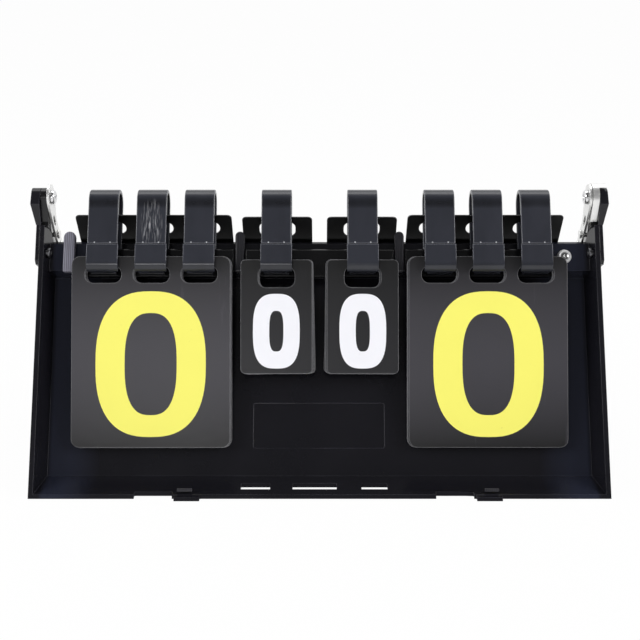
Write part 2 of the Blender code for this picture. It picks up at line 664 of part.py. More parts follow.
def front_card(label, kind, middle, rings):
    """The top card on its own pivot, and the stack of sheets that stays behind it."""
    slots = [x - middle for x in rings]
    pivot_up, pivot_out = CARD_PIVOTS[kind]
    pivot = card_pivot(f"pivot_{label}", FRONT, middle, pivot_up, pivot_out, CARD_TILT)
    # the card's top edge, seen in the pivot's tilted frame
    ds, dn = CARD_TOPS[kind] - pivot_up, CARD_OUT - pivot_out
    local_top = ds * math.cos(CARD_TILT) + dn * math.sin(CARD_TILT)
    local_out = dn * math.cos(CARD_TILT) - ds * math.sin(CARD_TILT)
    outlines = card_outline(kind, local_top, slots, CARD_CORNERS[kind])
    hang(f"card_{label}", pivot, outlines, local_out, CARD_SHEET, CARD)
    thick = STACKS[kind]
    hang(f"stack_{label}", pivot, outlines, local_out - CARD_SHEET / 2 - FIT_GAP - thick / 2, thick, CARD)


def rear_card(label, kind, middle, rings):
    """A card turned over to the rear, lying on the rear tray's band."""
    own_middle = -middle
    slots = [-x - own_middle for x in rings]
    top = REAR_SLOT_TOP + STRIPS[kind]
    pivot_up, pivot_out = REAR_PIVOTS[kind]
    pivot = card_pivot(f"pivot_rear_{label}", REAR, own_middle, pivot_up, pivot_out, 0.0)
    outlines = card_outline(kind, top - pivot_up, slots, REAR_CARD_CORNER)
    hang(f"rear_card_{label}", pivot, outlines, REAR_CARD_OUT - pivot_out, CARD_SHEET, CARD)


clear_scene()
PARTS = collection("Tabletop scoreboard")
CUTTERS = collection("Cutters")
PLASTIC = material("charcoal_plastic", (0.045, 0.047, 0.05), 0.42)
BLACK = material("black_plastic", (0.012, 0.012, 0.013), 0.5)
CARD = material("card_sheet", (0.03, 0.031, 0.034), 0.38)
STEEL = material("galvanised_steel", (0.55, 0.56, 0.56), 0.38, 1.0)
CHROME = material("chrome", (0.75, 0.75, 0.76), 0.12, 1.0)
BLACK_STEEL = material("blackened_steel", (0.06, 0.06, 0.065), 0.35, 1.0)
FRONT = tray_frame("front_frame", 0.0)
REAR = tray_frame("rear_frame", math.pi)

tray("front_tray", FRONT, PLASTIC, BAND_TOPS["front"], [(EAR_SCREW_UP, EAR_SCREW_OUT)])
tray("rear_tray", REAR, PLASTIC, BAND_TOPS["rear"], [(s, RIVET_OUT) for _, s in RIVETS])
for sign, word in ((-1, "left"), (1, "right")):
    ear(sign, word)
    ear_cap(sign, word, sign > 0)
    bracket(sign, word)
    pivot_set(sign, word)
    ear_screw(sign, word)
    for which, height in RIVETS:
        rivet(sign, word, which, height)
for bar_label, bar_low, bar_high in BARS:
    ring_bar(bar_label, bar_low, bar_high)
for number, ring_middle in enumerate(RING_CENTRES, 1):
    ring_upper(number, ring_middle)
    ring_lower(number, ring_middle)
for post_label, post_middle, post_width in POSTS:
    post(post_label, post_middle, post_width)
cup_washer()
for card_label, card_kind, card_middle, card_rings in CARDS:
    front_card(card_label, card_kind, card_middle, card_rings)
    rear_card(card_label, card_kind, card_middle, card_rings)
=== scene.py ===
"""Looks of a tabletop scoreboard: two hinged trays, flip cards on rings, and a pale studio.

Every piece is a dressed copy of the solid it stands for, or sits on one, in metres and +Z up.
Places on a tray are given as (x, up, out): along the hinge, up the tray from its foot, out from its rim.
"""
import json
import math
import random

import bmesh
import bpy
from bpy.props import FloatProperty, FloatVectorProperty, IntProperty, PointerProperty
from mathutils import Matrix, Vector


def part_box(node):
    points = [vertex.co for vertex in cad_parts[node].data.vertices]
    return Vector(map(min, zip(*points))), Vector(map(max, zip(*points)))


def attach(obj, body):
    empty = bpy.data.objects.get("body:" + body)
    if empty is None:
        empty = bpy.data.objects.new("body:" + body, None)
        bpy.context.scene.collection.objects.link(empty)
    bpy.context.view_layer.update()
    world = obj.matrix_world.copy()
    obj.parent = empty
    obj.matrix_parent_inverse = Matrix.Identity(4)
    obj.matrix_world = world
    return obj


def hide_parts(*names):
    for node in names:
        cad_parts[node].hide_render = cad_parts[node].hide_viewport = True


bl_info = {
    "name": "Tabletop scoreboard",
    "version": (1, 0, 0),
    "blender": (4, 5, 0),
    "location": "View3D > Sidebar > Scoreboard",
    "description": "Builds the surfaces and the studio of a tabletop flip scoreboard",
    "category": "Object",
}

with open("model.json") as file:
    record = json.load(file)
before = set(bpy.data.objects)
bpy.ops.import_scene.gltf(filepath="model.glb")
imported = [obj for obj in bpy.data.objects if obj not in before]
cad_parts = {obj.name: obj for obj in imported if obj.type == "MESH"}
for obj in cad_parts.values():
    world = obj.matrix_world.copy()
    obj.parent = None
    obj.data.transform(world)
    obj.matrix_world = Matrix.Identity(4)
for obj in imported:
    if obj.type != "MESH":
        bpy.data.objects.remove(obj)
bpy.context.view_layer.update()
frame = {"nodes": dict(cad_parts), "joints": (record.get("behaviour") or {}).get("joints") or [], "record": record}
MM = 0.001

# Frames of the two trays, on the hinge line that the case folds about
HINGE = Vector(next(joint["pos_m"] for joint in frame["joints"] if joint["name"] == "case_fold"))
HINGE_UP, HINGE_OUT = 206.0 * MM, 0.2 * MM
LEAN = math.radians(60.0)
FRONT = Matrix.Translation(HINGE) @ Matrix.Rotation(LEAN, 4, "X")
REAR = Matrix.Translation(HINGE) @ Matrix.Rotation(math.pi, 4, "Z") @ Matrix.Rotation(LEAN, 4, "X")

SIDES = ((-1, "left"), (1, "right"))
RING_COUNT = 8
CARDS = (("left_score", "score"), ("left_set", "set"), ("right_set", "set"), ("right_score", "score"))
CARD_TILT = math.radians(8.5)
SHEET_FINISH = {"score": "card_sheet", "set": "set_sheet"}

# Corners that are split in the solids are welded, and faces closer to flat than this are made whole
WELD, INK_WELD = 0.002 * MM, 0.001 * MM
NEARLY_FLAT = math.radians(0.6)

# Roundings of the pieces whose edges aren't among the sizes
EAR_EDGE, POST_EDGE, BAR_EDGE, NUT_EDGE = 0.7 * MM, 1.2 * MM, 0.35 * MM, 0.25 * MM
RIVET_EDGE, WASHER_EDGE, PACKING_EDGE = 0.15 * MM, 0.15 * MM, 0.2 * MM

# Cross recess of each kind of screw: its radius, its depth, and the rounding of the head
SCREWS = {
    "pivot_screw": (3.1 * MM, 1.5 * MM, 0.18 * MM),
    "ear_screw": (2.1 * MM, 1.1 * MM, 0.18 * MM),
    "washer_screw": (1.7 * MM, 0.9 * MM, 0.12 * MM),
}
CROSS_TURN = math.radians(20)
CROSS_WIDTH, CROSS_FOOT_LENGTH, CROSS_FOOT_WIDTH = 0.42, 0.45, 0.6

# Pad on each latch tab: its two ends along the hinge, then its lower back and its upper front corner
LATCH_PADS = ((-94.2 * MM, -84.2 * MM), (109.1 * MM, 118.4 * MM))
PAD_LOW, PAD_HIGH, PAD_EDGE = (4.8 * MM, -1.6 * MM), (7.0 * MM, 0.9 * MM), 0.3 * MM

# Round mark on each side's rim
RIM_DOT, RIM_DOT_RADIUS = (190.6 * MM, 176.4 * MM), 1.5 * MM
RIM_DOT_HEIGHT, RIM_DOT_EDGE = 0.3 * MM, 0.1 * MM

# Packing under each spacer leg: its inner, low and back corner, then its outer, top and front one
LEG_PACKING = (187.3 * MM, 185.6 * MM, -8.2 * MM), (191.3 * MM, 189.3 * MM, -2.2 * MM)

# Two pips at each ring's seam, pale to paint the glints there: how far beside its middle, up the tray and out from
# it
PIP_ASIDE, PIP_UP, PIP_OUT = 5.3 * MM, 171.9 * MM, 8.5 * MM
PIP_RADIUS, PIP_HEIGHT, PIP_EDGE = 0.5 * MM, 0.24 * MM, 0.08 * MM

# Painted shade on the rings: the place where the front bends under, how softly the shade below it and the painted
# edge highlight above it begin, and the dark crown below the top
BEND_UP, BEND_OUT = 158.8 * MM, 8.5 * MM
BEND_FADE, EDGE_FADE = 3.0 * MM, 2.0 * MM
CROWN_DROP, CROWN_REACH = 6.5 * MM, 3.6 * MM

# Scratched patch on the second ring: half its width, the top left clear, and its share of the upper half
PATCH_HALF_WIDTH, PATCH_CLEAR, PATCH_SHARE = 8.0 * MM, 8.0 * MM, 0.36

# Painted paler, bluer light at the ends of the trays' floors: where it starts, how softly, and where the side
# walls cut it off
TRAY_END, TRAY_END_FADE = 150.0 * MM, 22.0 * MM
TRAY_SIDE, TRAY_SIDE_FADE = 186.0 * MM, 3.0 * MM

# Digits: outer width and height, inner width and height, squareness, and distance below the sheet's top
DIGITS = {
    "score": (75.0 * MM, 99.0 * MM, 35.4 * MM, 69.4 * MM, 2.55, 23.9 * MM),
    "set": (31.8 * MM, 50.8 * MM, 9.6 * MM, 27.6 * MM, 2.9, 23.3 * MM),
}
HOLE_SQUARER = 0.1

# Waiting sheets: a sheet's share of its room, the fan's whole turn, and what chance picks for each sheet
SHEET_SHARE = 0.86
FAN_LEAN = {"score": math.radians(0.35), "set": math.radians(1.5)}
FAN_SEED, FAN_CHANCE = 7, (0.2, 1.0)
SLIP_ASIDE, SLIP_UP = (0.1, 1.1), (-0.5, 0.2)

# Ribs along the posts, and how many times paler the left post is, from rubbing and a painted highlight
RIB_PITCH, RUBBED_HIGHLIT_POST = 1.3 * MM, 8.5

# Colours of marks and bare metals that aren't among the colours below, in linear light
# Painted light on the two ends of the trays' floors
TRAY_END_LIGHT = (0.021, 0.024, 0.041)
# Painted highlight along the rings' edges
EDGE_HIGHLIGHT = (0.23, 0.235, 0.265)
SCRATCH = (0.55, 0.55, 0.58)
CUT_EDGE = (0.34, 0.34, 0.36)
# Pale grey of the seam pips, a painted glint
PIP_GLINT = (0.30, 0.31, 0.34)
BLACK_OXIDE = (0.16, 0.16, 0.17)
BRIGHT_PLATE = (0.80, 0.80, 0.81)
DULL_ZINC, BRIGHT_ZINC = (0.80, 0.80, 0.81), (0.95, 0.95, 0.96)
WHITE = (1.0, 1.0, 1.0, 1.0)

# Studio: each lamp's name, place, width, height and power, all turned to one point
LIT_POINT = (0.0, 0.0, 0.08)
LAMPS = (
    ("key", (-1.55, -0.85, 1.05), 1.0, 1.0, 14.5),
    ("fill", (1.60, -0.80, 0.95), 1.0, 1.0, 16.0),
    ("front", (-0.30, -1.70, 0.50), 0.5, 0.2, 2.6),
    ("left strip", (-1.40, 0.05, 0.30), 0.30, 0.8, 5.0),
    ("right strip", (1.40, 0.05, 0.30), 0.30, 0.8, 5.0),
    ("top", (0.0, 0.55, 1.6), 1.8, 0.6, 6.0),
)

# World: its plain light, the darker room that gloss shows in front, and how softly the room begins
WORLD_LEVEL, ROOM_LEVEL, ROOM_TURN = 0.385, 0.10, 0.2

# Floor: half its width, its drop and colour, and how white the camera and gloss see it
FLOOR_HALF, FLOOR_DROP, FLOOR_GREY = 6.0, 0.1 * MM, (0.9, 0.9, 0.9, 1.0)
FLOOR_GLOW, FLOOR_GLOSS = 0.97, 0.55

CAMERA_PLACE, CAMERA_TURN = (0.0003, -0.7439, 0.3589), math.radians(70.0)
LENS, SENSOR_WIDTH, CLIP_START = 61.9, 36.0, 0.01


class ScoreboardSizes(bpy.types.PropertyGroup):
    """Sizes of the fine shapes that are added to the pieces."""

    tray_edge: FloatProperty(name="Tray edge", description="Rounding of the tray's moulded edges",
                             default=0.45 * MM, unit="LENGTH")
    ring_edge: FloatProperty(name="Ring edge", description="Rounding of the rings' edges",
                             default=0.6 * MM, unit="LENGTH")
    steel_edge: FloatProperty(name="Steel edge", description="Rounding of the sheet steel's edges",
                              default=0.15 * MM, unit="LENGTH")
    card_edge: FloatProperty(name="Card edge", description="Rounding of the cards' cut edges",
                             default=0.12 * MM, unit="LENGTH")
    ink: FloatProperty(name="Ink", description="Thickness of a printed digit",
                       default=0.05 * MM, unit="LENGTH")
    score_sheets: IntProperty(name="Score sheets", description="Waiting sheets behind a score card",
                              default=9)
    set_sheets: IntProperty(name="Set sheets", description="Waiting sheets behind a set card",
                            default=6)


class ScoreboardColours(bpy.types.PropertyGroup):
    """Colours of the finishes, in linear light."""

    tray: FloatVectorProperty(name="Tray", description="Charcoal plastic of the trays",
                              subtype="COLOR", default=(0.0094, 0.0092, 0.0122))
    ring: FloatVectorProperty(name="Ring", description="Blue-grey plastic of the rings",
                              subtype="COLOR", default=(0.031, 0.033, 0.043))
    black: FloatVectorProperty(name="Black", description="Black plastic of the bars and the left spacer leg",
                               subtype="COLOR", default=(0.0050, 0.0050, 0.0058))
    card: FloatVectorProperty(name="Card", description="Charcoal sheet of the cards",
                              subtype="COLOR", default=(0.047, 0.045, 0.054))
    # Painted shade: the set cards' sheet is made darker for the light their tilt turns away
    shaded_set_card: FloatVectorProperty(name="Set card", description="Darker sheet of the set cards",
                                  subtype="COLOR", default=(0.0115, 0.0112, 0.014))
    post: FloatVectorProperty(name="Post", description="Rubbed plastic of the posts",
                              subtype="COLOR", default=(0.024, 0.0235, 0.029))
    yellow: FloatVectorProperty(name="Score ink", description="Ink of the score digits",
                                subtype="COLOR", default=(0.98, 0.93, 0.16))
    white: FloatVectorProperty(name="Set ink", description="Ink of the set digits",
                               subtype="COLOR", default=(0.93, 0.93, 0.98))
    steel: FloatVectorProperty(name="Steel", description="Zinc plated steel",
                               subtype="COLOR", default=(0.92, 0.92, 0.905))


class Field:
    """A number that varies over a surface, for maths written as Python expressions."""

    def __init__(self, tree, socket):
        self.tree = tree
        self.socket = socket

    def maths(self, operation, first, second=0.0):
        node = self.tree.nodes.new("ShaderNodeMath")
        node.operation = operation
        for place, value in enumerate((first, second)):
            if isinstance(value, Field):
                self.tree.links.new(value.socket, node.inputs[place])
            else:
                node.inputs[place].default_value = value
        return Field(self.tree, node.outputs[0])

    def __add__(self, other):
        return self.maths("ADD", self, other)

    __radd__ = __add__

    def __sub__(self, other):
        return self.maths("SUBTRACT", self, other)

    def __rsub__(self, other):
        return self.maths("SUBTRACT", other, self)

    def __mul__(self, other):
        return self.maths("MULTIPLY", self, other)

    __rmul__ = __mul__

    def __truediv__(self, other):
        return self.maths("DIVIDE", self, other)

    def __pow__(self, other):
        return self.maths("POWER", self, other)

    def __abs__(self):
        return self.maths("ABSOLUTE", self)

    def clamped(self):
        """The same number, held between 0 and 1."""
        held = self.maths("ADD", self, 0.0)
        held.socket.node.use_clamp = True
        return held

    def other(self, output):
        """Another output of the same node."""
        return Field(self.tree, self.socket.node.outputs[output])


class Nodes:
    """A node tree that is filled node by node."""

    def __init__(self, tree):
        self.tree = tree

    def node(self, kind, settings=None, inputs=None, output=0):
        """Add a node with its settings first, then its inputs' values or links, and give one output."""
        made = self.tree.nodes.new(kind)
        for name, value in (settings or {}).items():
            setattr(made, name, value)
        for name, value in (inputs or {}).items():
            self.feed(made.inputs[name], value)
        return Field(self.tree, made.outputs[output])

    def feed(self, socket, value):
        if isinstance(value, Field):
            self.tree.links.new(value.socket, socket)
        else:
            socket.default_value = value

    def rays(self):
        """Whether a ray comes from the camera, off a glossy surface or through a clear one."""
        camera = self.node("ShaderNodeLightPath", output="Is Camera Ray")
        return camera, camera.other("Is Glossy Ray"), camera.other("Is Transmission Ray")


class Finish(Nodes):
    """A material, with its shader and the helpers that feed it."""

    def __init__(self, name):
        self.material = bpy.data.materials.new(name)
        self.material.use_nodes = True
        super().__init__(self.material.node_tree)
        self.shader = self.tree.nodes["Principled BSDF"]

    def set(self, **values):
        """Feed the shader's sockets, named with underscores for blanks."""
        for name, value in values.items():
            self.feed(self.shader.inputs[name.replace("_", " ")], value)

    def base(self):
        """The colour that the shader is fed so far."""
        return Field(self.tree, self.shader.inputs["Base Color"].links[0].from_socket)

    def place(self):
        return self.node("ShaderNodeTexCoord", output="Object")

    def axis(self, name):
        """One of the coordinates X, Y and Z."""
        return self.node("ShaderNodeSeparateXYZ", inputs={0: self.place()}, output=name)

    def noise(self, place, scale, detail=2.0, stretch=None):
        if stretch:
            place = self.node("ShaderNodeMapping", inputs={"Vector": place, "Scale": stretch})
        return self.node("ShaderNodeTexNoise", inputs={"Vector": place, "Scale": scale, "Detail": detail})

    def mix(self, factor, first, second):
        """Two colours mixed; each is a colour or a field."""
        first, second = (value if isinstance(value, Field) else (*value, 1.0) for value in (first, second))
        return self.node("ShaderNodeMix", {"data_type": "RGBA"}, {0: factor, 6: first, 7: second}, 2)

    def bump(self, height, depth, strength=1.0):
        return self.node("ShaderNodeBump",
                         inputs={"Height": height, "Distance": depth, "Strength": strength})

    def edges(self, radius):
        """1 on convex and concave edges, 0 on flat faces."""
        round_normal = self.node("ShaderNodeBevel", {"samples": 4}, {"Radius": radius})
        flat_normal = self.node("ShaderNodeNewGeometry", output="Normal")
        both = self.node("ShaderNodeVectorMath", {"operation": "DOT_PRODUCT"},
                         {0: round_normal, 1: flat_normal}, "Value")
        return ((1.0 - both) * 6.0).clamped()


def lighter(colour, factor):
    return tuple(min(1.0, channel * factor) for channel in colour)


def moulded_plastic(name, colour, roughness, grain, wear):
    """Satin moulded plastic: fine grain, uneven gloss, faint flow marks and rubbed edges."""
    finish = Finish(name)
    place = finish.place()
    fine = finish.noise(place, 1400.0, 3.0)
    broad = finish.noise(place, 22.0, 4.0)
    flow = finish.noise(place, 60.0, 3.0, (0.35, 1.0, 1.0))
    edge_wear_and_highlight = finish.edges(0.7 * MM) * ((broad - 0.36) * 5.0).clamped()
    base = finish.mix(broad * 0.6, lighter(colour, 0.8), lighter(colour, 1.35))
    finish.set(
        Base_Color=finish.mix(edge_wear_and_highlight * wear, base, lighter(colour, 5.0)),
        Roughness=(roughness - 0.06 + broad * 0.12 + (flow - 0.5) * 0.05).clamped(),
        Normal=finish.bump(fine * 0.7 + flow * 0.3, grain),
    )
    return finish


def tray_plastic(colours):
    """The trays' plastic, with painted paler and bluer light at the two ends of the floor."""
    finish = moulded_plastic("charcoal plastic", colours.tray, roughness=0.17, grain=0.006 * MM, wear=0.9)
    from_middle = abs(finish.axis("X"))
    ends = ((from_middle - TRAY_END) / TRAY_END_FADE).clamped()
    floor_only = ((TRAY_SIDE - from_middle) / TRAY_SIDE_FADE).clamped()
    finish.set(
        Base_Color=finish.mix(ends * floor_only * 0.8, finish.base(), TRAY_END_LIGHT),
        Specular_IOR_Level=0.35,
    )
    return finish.material


def black_plastic(colours):
    return moulded_plastic("black plastic", colours.black,
                           roughness=0.22, grain=0.010 * MM, wear=0.4).material


# Pale plastic of the seam pips, standing for a painted glint
def pip_plastic():
    return moulded_plastic("pip glint", PIP_GLINT, roughness=0.3, grain=0.01 * MM, wear=0.3).material


def glossed_ring(name, colour):
    """The rings' plastic: painted shade below the crown and under the bend, darker in random patches, and a
    painted highlight along its edges.
    """
    finish = moulded_plastic(name, colour, roughness=0.20, grain=0.008 * MM, wear=0.25)
    height = finish.axis("Z")
    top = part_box("ring_1_upper")[1][2]
    crown = (1.0 - ((height - (top - CROWN_DROP)) / CROWN_REACH) ** 2.0).clamped()
    patchy = finish.noise(finish.place(), 60.0, 3.0, (1.0, 0.35, 0.35))
    bend = (FRONT @ Vector((0.0, BEND_UP - HINGE_UP, BEND_OUT - HINGE_OUT))).z
    below_bend = ((bend - height) / BEND_FADE).clamped()
    # Painted shade below the crown and under the bend, with random darker patches
    shade = (crown * 0.85 + below_bend * 0.45 + (patchy - 0.45) * 0.9).clamped()
    shaded = finish.mix(shade * 0.8, finish.base(), lighter(colour, 0.22))
    # Painted highlight along the ring's edges above the bend
    edge_wear_and_highlight = finish.edges(1.0 * MM) * ((height - bend) / EDGE_FADE).clamped()
    finish.set(Base_Color=finish.mix(edge_wear_and_highlight * 0.85, shaded, EDGE_HIGHLIGHT))
    return finish


def ring_plastic(colours):
    return glossed_ring("ring plastic", colours.ring).material


def scuffed_plastic(colours):
    """The rings' plastic with pale scratches that run up the front."""
    finish = glossed_ring("scuffed ring plastic", colours.ring)
    place = finish.place()
    across = finish.axis("X")
    height = finish.axis("Z")
    middle = sum(corner[0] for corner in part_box("ring_2_upper")) / 2
    low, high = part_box("ring_2_upper")[0][2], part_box("ring_2_upper")[1][2]
    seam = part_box("ring_2_lower")[1][2]
    off_side = ((across - middle) / PATCH_HALF_WIDTH) ** 2.0
    off_height = ((height - (seam + high - PATCH_CLEAR) / 2) / ((high - low) * PATCH_SHARE)) ** 2.0
    patch = (1.15 - off_side - off_height).clamped()
    streaks = finish.noise(place, 1800.0, 6.0, (1.0, 0.07, 0.07))
    coarse = finish.noise(place, 300.0, 5.0, (1.0, 0.3, 0.3))
    marks = ((streaks - 0.49) * 8.0).clamped() * ((coarse - 0.40) * 5.0).clamped() * patch
    finish.set(Base_Color=finish.mix(marks * 0.55, finish.base(), SCRATCH))
    return finish.material


def card_plastic(name, colour):
    """Satin sheet with a rolled grain and faint scratches, pale at its edges, and with painted shade towards its
    top and foot.
    """
    finish = Finish(name)
    place = finish.place()
    rolled = finish.noise(place, 500.0, 3.0, (0.12, 1.0, 1.0))
    broad = finish.noise(place, 14.0, 3.0)
    fine = finish.noise(place, 1800.0, 2.0)
    scratch = ((finish.noise(place, 160.0, 6.0, (1.0, 0.12, 0.12)) - 0.67) * 14.0).clamped()
    base = finish.mix(broad, lighter(colour, 0.88), lighter(colour, 1.12))
    cut = finish.edges(0.65 * MM)
    # Painted shade towards the top and foot of the sheet, for the fall-off of a lamp's sheen
    low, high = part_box("card_left_score")
    off_middle = (finish.axis("Z") - (low[2] + high[2]) / 2) / ((high[2] - low[2]) / 2)
    painted_shade = ((off_middle ** 2.0) * 1.05).clamped()
    scratched_and_shaded = finish.mix(scratch * 0.12, finish.mix(painted_shade, base, lighter(colour, 0.15)), lighter(colour, 4.0))
    finish.set(
        Base_Color=finish.mix(cut * 0.8, scratched_and_shaded, CUT_EDGE),
        Roughness=(0.34 + broad * 0.1 + (rolled - 0.5) * 0.08 - scratch * 0.08).clamped(),
        Normal=finish.bump(rolled * 0.4 + fine * 0.6, 0.012 * MM),
    )
    return finish.material


def ribbed_plastic(name, colour):
    """Plastic with fine ribs along the post, paler on their crests from rubbing and a painted highlight."""
    finish = Finish(name)
    place = finish.place()
    across = finish.axis("X")
    wave = finish.node("ShaderNodeMath", {"operation": "SINE"}, {0: across * (2 * math.pi / RIB_PITCH)})
    streaks = finish.noise(place, 700.0, 4.0, (1.0, 0.10, 0.10))
    broad = finish.noise(place, 45.0, 3.0)
    # Crests paler from rubbing and from a painted highlight
    rubbed_and_highlit_crests = ((wave * 0.5 + streaks - 0.45) * 2.0).clamped() * (broad + 0.3).clamped()
    finish.set(
        Base_Color=finish.mix(rubbed_and_highlit_crests * 0.75, lighter(colour, 0.7), lighter(colour, 2.1)),
        Roughness=(0.24 + broad * 0.12).clamped(),
        Normal=finish.bump(wave * 0.5 + streaks * 0.4, 0.05 * MM),
    )
    return finish.material


def pale_zinc():
    """Bright satin zinc of the cup washer."""
    finish = Finish("pale zinc")
    place = finish.place()
    mottled = finish.noise(place, 320.0, 3.0)
    finish.set(
        Base_Color=finish.mix(mottled, DULL_ZINC, BRIGHT_ZINC),
        Metallic=0.25,
        Roughness=0.34 + mottled * 0.1,
        Normal=finish.bump(mottled, 0.01 * MM),
    )
    return finish.material


def ink(name, colour):
    """Printed ink, a little uneven, with tiny pinholes."""
    finish = Finish(name)
    place = finish.place()
    broad = finish.noise(place, 35.0, 3.0)
    fine = finish.noise(place, 1500.0, 2.0)
    pinholes = ((finish.noise(place, 420.0, 4.0) - 0.70) * 12.0).clamped()
    base = finish.mix(broad, lighter(colour, 0.97), colour)
    finish.set(
        Base_Color=finish.mix(pinholes * 0.35, base, lighter(colour, 0.6)),
        Roughness=0.42 + broad * 0.1,
        Normal=finish.bump(fine, 0.008 * MM),
    )
    return finish.material


def plated_steel(name, colour, roughness):
    """Zinc plated sheet: mottled gloss, faint rolling lines and dull scratches."""
    finish = Finish(name)
    place = finish.place()
    mottled = finish.noise(place, 240.0, 4.0)
    lines = finish.noise(place, 900.0, 3.0, (1.0, 0.08, 0.08))
    scratch = ((finish.noise(place, 300.0, 6.0, (1.0, 1.0, 0.15)) - 0.64) * 12.0).clamped()
    finish.set(
        Base_Color=finish.mix(mottled, lighter(colour, 0.82), lighter(colour, 1.1)),
        Metallic=1.0,
        Roughness=(roughness - 0.08 + mottled * 0.16 + scratch * 0.15).clamped(),
        Normal=finish.bump(lines * 0.5 + mottled * 0.5, 0.015 * MM),
    )
    return finish.material


def bright_plating(name, colour, roughness):
    """Bright plating with a slight orange peel and fine scratches."""
    finish = Finish(name)
    place = finish.place()
    peel = finish.noise(place, 600.0, 2.0)
    fine = finish.noise(place, 2200.0, 3.0)
    finish.set(
        Base_Color=finish.mix(peel, lighter(colour, 0.92), colour),
        Metallic=1.0,
        Roughness=(roughness + (fine - 0.5) * 0.1).clamped(),
        Normal=finish.bump(peel, 0.008 * MM),
    )
    return finish.material


FINISHES = {}


def finish_for(name):
    """The material of a finish, made on first use."""
    if name not in FINISHES:
        colours = bpy.context.scene.scoreboard_colours
        makers = {
            "charcoal_plastic": lambda: tray_plastic(colours),
            "black_plastic": lambda: black_plastic(colours),
            "ring_plastic": lambda: ring_plastic(colours),
            "scuffed_plastic": lambda: scuffed_plastic(colours),
            "card_sheet": lambda: card_plastic("card sheet", colours.card),
            "set_sheet": lambda: card_plastic("shaded set card sheet", colours.shaded_set_card),
            "post_plastic": lambda: ribbed_plastic("post plastic", colours.post),
            "rubbed_highlit_plastic": lambda: ribbed_plastic("rubbed highlit post plastic",
                                                     lighter(colours.post, RUBBED_HIGHLIT_POST)),
            "pale_zinc": pale_zinc,
            "pip_plastic": pip_plastic,
            "score_ink": lambda: ink("score ink", colours.yellow),
            "set_ink": lambda: ink("set ink", colours.white),
            "galvanised_steel": lambda: plated_steel("zinc plated steel", colours.steel, roughness=0.38),
            "blackened_steel": lambda: bright_plating("blackened steel", BLACK_OXIDE, roughness=0.34),
            "chrome": lambda: bright_plating("bright plating", BRIGHT_PLATE, roughness=0.14),
        }
        FINISHES[name] = makers[name]()
    return FINISHES[name]


def clean_copy(node):
    """A node's mesh with its split corners welded, and its flat faces made whole unless it is a tray."""
    data = frame["nodes"][node].data.copy()
    data.materials.clear()
    cage = bmesh.new()
    cage.from_mesh(data)
    bmesh.ops.remove_doubles(cage, verts=cage.verts, dist=WELD)
    if not node.endswith("tray"):
        bmesh.ops.dissolve_limit(cage, angle_limit=NEARLY_FLAT, verts=cage.verts, edges=cage.edges)
    bmesh.ops.recalc_face_normals(cage, faces=cage.faces)
    cage.to_mesh(data)
    cage.free()
    return data


def mesh_from(name, cage):
    data = bpy.data.meshes.new(name)
    cage.to_mesh(data)
    cage.free()
    return data


def added(name, data):
    """A new object in the scene."""
    thing = bpy.data.objects.new(name, data)
    bpy.context.scene.collection.objects.link(thing)
    return thing


def link(name, data, finish):
    """A new piece with its finish."""
    piece = added(name, data)
    piece.data.materials.append(finish_for(finish))
    return piece


def evaluated(piece):
    """The shape that an object has after its modifiers, as a new mesh."""
    bpy.context.view_layer.update()
    graph = bpy.context.evaluated_depsgraph_get()
    return bpy.data.meshes.new_from_object(piece.evaluated_get(graph))


def bake(piece):
    """Make the evaluated shape the piece's own mesh."""
    data = evaluated(piece)
    piece.modifiers.clear()
    piece.data = data
    return piece


def round_edges(piece, width, segments=2, angle=25.0):
    """Round the edges that are sharper than an angle in degrees, and even the shading."""
    bevel = piece.modifiers.new("Round edges", "BEVEL")
    bevel.width = width
    bevel.segments = segments
    bevel.limit_method = "ANGLE"
    bevel.angle_limit = math.radians(angle)
    bevel.miter_outer = "MITER_ARC"
    bevel.harden_normals = True
    bake(piece)
    for face in piece.data.polygons:
        face.use_smooth = True
    even = piece.modifiers.new("Even shading", "WEIGHTED_NORMAL")
    even.keep_sharp = True
    return bake(piece)


def cut(piece, tool):
    """Cut a tool's shape out of a piece and remove the tool."""
    step = piece.modifiers.new("Cut", "BOOLEAN")
    step.operation = "DIFFERENCE"
    step.solver = "EXACT"
    step.object = tool
    bake(piece)
    bpy.data.objects.remove(tool)


def joined(name, pieces):
    """Several mesh objects as one, with each one's faces and finishes kept."""
    cage = bmesh.new()
    finishes = []
    for piece in pieces:
        data = piece.data.copy()
        data.transform(piece.matrix_world)
        for material in data.materials:
            if material not in finishes:
                finishes.append(material)
        places = [finishes.index(material) for material in data.materials]
        for face in data.polygons:
            face.material_index = places[face.material_index]
        cage.from_mesh(data)
        bpy.data.meshes.remove(data)
        bpy.data.objects.remove(piece)
    whole = added(name, mesh_from(name, cage))
    for material in finishes:
        whole.data.materials.append(material)
    return whole


def middle_of(low, high):
    return [(a + b) / 2 for a, b in zip(low, high)]


def body_of(node):
    bodies = frame["record"]["behaviour"]["bodies"]
    return next(body for body, nodes in bodies.items() if node in nodes)


def slot_of(node):
    subparts = frame["record"]["subparts"]
    return next(part["material_slot"] for part in subparts if part["node"] == node)


def stand_for(piece, node):
    """A piece takes a node's place and motion: it moves with the node's body, and the node is hidden."""
    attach(piece, body_of(node))
    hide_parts(node)


def dress(node, width, segments=2, finish=None):
    """Put a clean copy of a node in its place, with rounded edges and its own finish."""
    piece = link(node + "_skin", clean_copy(node), finish or slot_of(node))
    stand_for(round_edges(piece, width, segments), node)


def on_tray(name, cage, centre, tray, finish, edge):
    """A small rounded piece with its middle at a place on a tray."""
    data = mesh_from(name, cage)
    data.transform(Matrix.Translation((centre[0], centre[1] - HINGE_UP, centre[2] - HINGE_OUT)))
    data.transform(tray)
    return round_edges(link(name, data, finish), edge)


